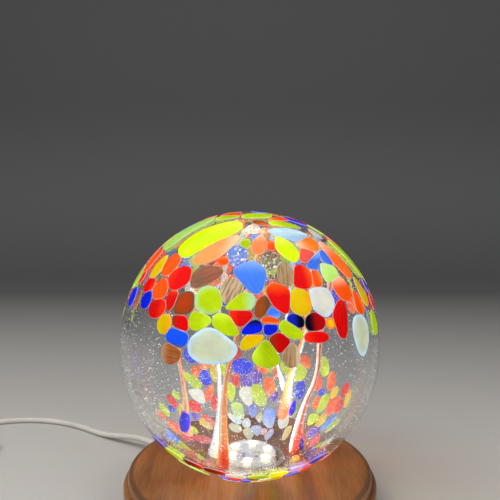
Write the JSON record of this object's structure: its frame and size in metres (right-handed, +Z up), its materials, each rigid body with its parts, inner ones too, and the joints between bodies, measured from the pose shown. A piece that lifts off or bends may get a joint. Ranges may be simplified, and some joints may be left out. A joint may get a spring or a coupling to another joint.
{
  "type": "glass ball lamp",
  "caption": "Clear glass ball with fused coloured chips and pulled glass strands inside, turning on a round wooden base with a light in its mouth, and a switched low-voltage cord.",
  "frame": {"origin": "the point of the table under the middle of the base", "axes": "+Z up through the middles of the base and the ball, -Y towards the front of the picture"},
  "size_m": [0.2677, 0.1797, 0.1468],
  "materials": {
    "clear_glass": "clear, hand-blown, with fine seeds",
    "wood": "fine straight grain, satin lacquer",
    "silicone": "translucent matt",
    "clear_plastic": "clear gloss",
    "white_plastic": "semi-gloss",
    "board_white": "white board",
    "steel": "plated",
    "plug_steel": "plated",
    "light_lens": "clear resin over a warm white light",
    "black_plastic": "matt",
    "cord_skin": "soft, satin",
    "core_skin": "satin",
    "relief_rubber": "matt",
    "switch_plastic": "satin",
    "foot_rubber": "matt",
    "contact_brass": "bright",
    "strand_left_glass": "pulled, glossy",
    "strand_pale_glass": "pulled, glossy",
    "strand_front_glass": "pulled, glossy",
    "strand_back_glass": "pulled, glossy",
    "strand_right_glass": "pulled, glossy",
    "strand_thin_glass": "pulled, glossy",
    "red_glass": "fused, glossy, translucent",
    "orange_glass": "fused, glossy, translucent",
    "amber_glass": "fused, glossy, translucent",
    "yellow_glass": "fused, glossy, translucent",
    "lime_glass": "fused, glossy, translucent",
    "sky_glass": "fused, glossy, translucent",
    "cobalt_glass": "fused, glossy, translucent",
    "white_glass": "fused, glossy, translucent",
    "purple_glass": "fused, glossy, translucent"
  },
  "bodies": {
    "base": {"base_plinth": "wood", "light_cap": "clear_plastic", "light_pedestal": "white_plastic", "pedestal_screws": "steel", "light_board": "board_white", "board_screws": "steel", "small_lights": "light_lens", "board_resistors": "black_plastic", "cord_inner": "cord_skin", "cord_cores": "core_skin", "connector_plug": "white_plastic", "connector_socket": "white_plastic", "lead_wires": "core_skin", "clamp_pad": "white_plastic", "cord_clamp": "white_plastic", "clamp_screws": "steel", "cord_relief": "relief_rubber", "bottom_cover": "black_plastic", "cover_screws": "steel", "feet": "foot_rubber", "switch_lower_shell": "switch_plastic", "switch_upper_shell": "switch_plastic", "rocker_pin": "steel", "switch_contacts": "contact_brass", "switch_wires": "core_skin", "switch_tails": "cord_skin", "switch_screws": "steel", "switch_relief_in": "relief_rubber", "switch_relief_out": "relief_rubber", "plug_relief": "relief_rubber", "plug_body": "switch_plastic", "plug_shell": "plug_steel", "plug_tongue": "white_plastic", "plug_contacts": "contact_brass", "cord_run": "cord_skin", "cord_lead": "cord_skin", "cord_coil": "cord_skin", "cord_tail": "cord_skin"},
    "seat": {"seat_ring": "silicone"},
    "ball": {"glass_ball": "clear_glass", "strand_left": "strand_left_glass", "strand_pale": "strand_pale_glass", "strand_front": "strand_front_glass", "strand_back": "strand_back_glass", "strand_right": "strand_right_glass", "strand_thin": "strand_thin_glass", "chips_red": "red_glass", "chips_orange": "orange_glass", "chips_amber": "amber_glass", "chips_yellow": "yellow_glass", "chips_lime": "lime_glass", "chips_sky": "sky_glass", "chips_cobalt": "cobalt_glass", "chips_white": "white_glass", "chips_purple": "purple_glass"},
    "rocker": {"switch_rocker": "switch_plastic"},
    "lever": {"contact_lever": "contact_brass"}
  },
  "joints": [
    {"name": "ball_turn", "type": "hinge", "parent": "base", "child": "seat", "pos_m": [0, 0, 0.0168], "axis": [0, 0, 1], "continuous": true},
    {"name": "ball_lift", "type": "slide", "parent": "seat", "child": "ball", "axis": [0, 0, 1], "range_m": [0, 0.045]},
    {"name": "rocker_tilt", "type": "hinge", "parent": "base", "child": "rocker", "pos_m": [-0.19525, 0.014, 0.01], "axis": [1, 0, 0], "range_deg": [-18, 0]},
    {"name": "lever_tilt", "type": "hinge", "parent": "base", "child": "lever", "pos_m": [-0.19365, 0.015, 0.0064], "axis": [1, 0, 0], "range_deg": [-5, 0]}
  ],
  "couplings": [
    {"joint": "lever_tilt", "follows": "rocker_tilt", "ratio": 0.27778}
  ]
}
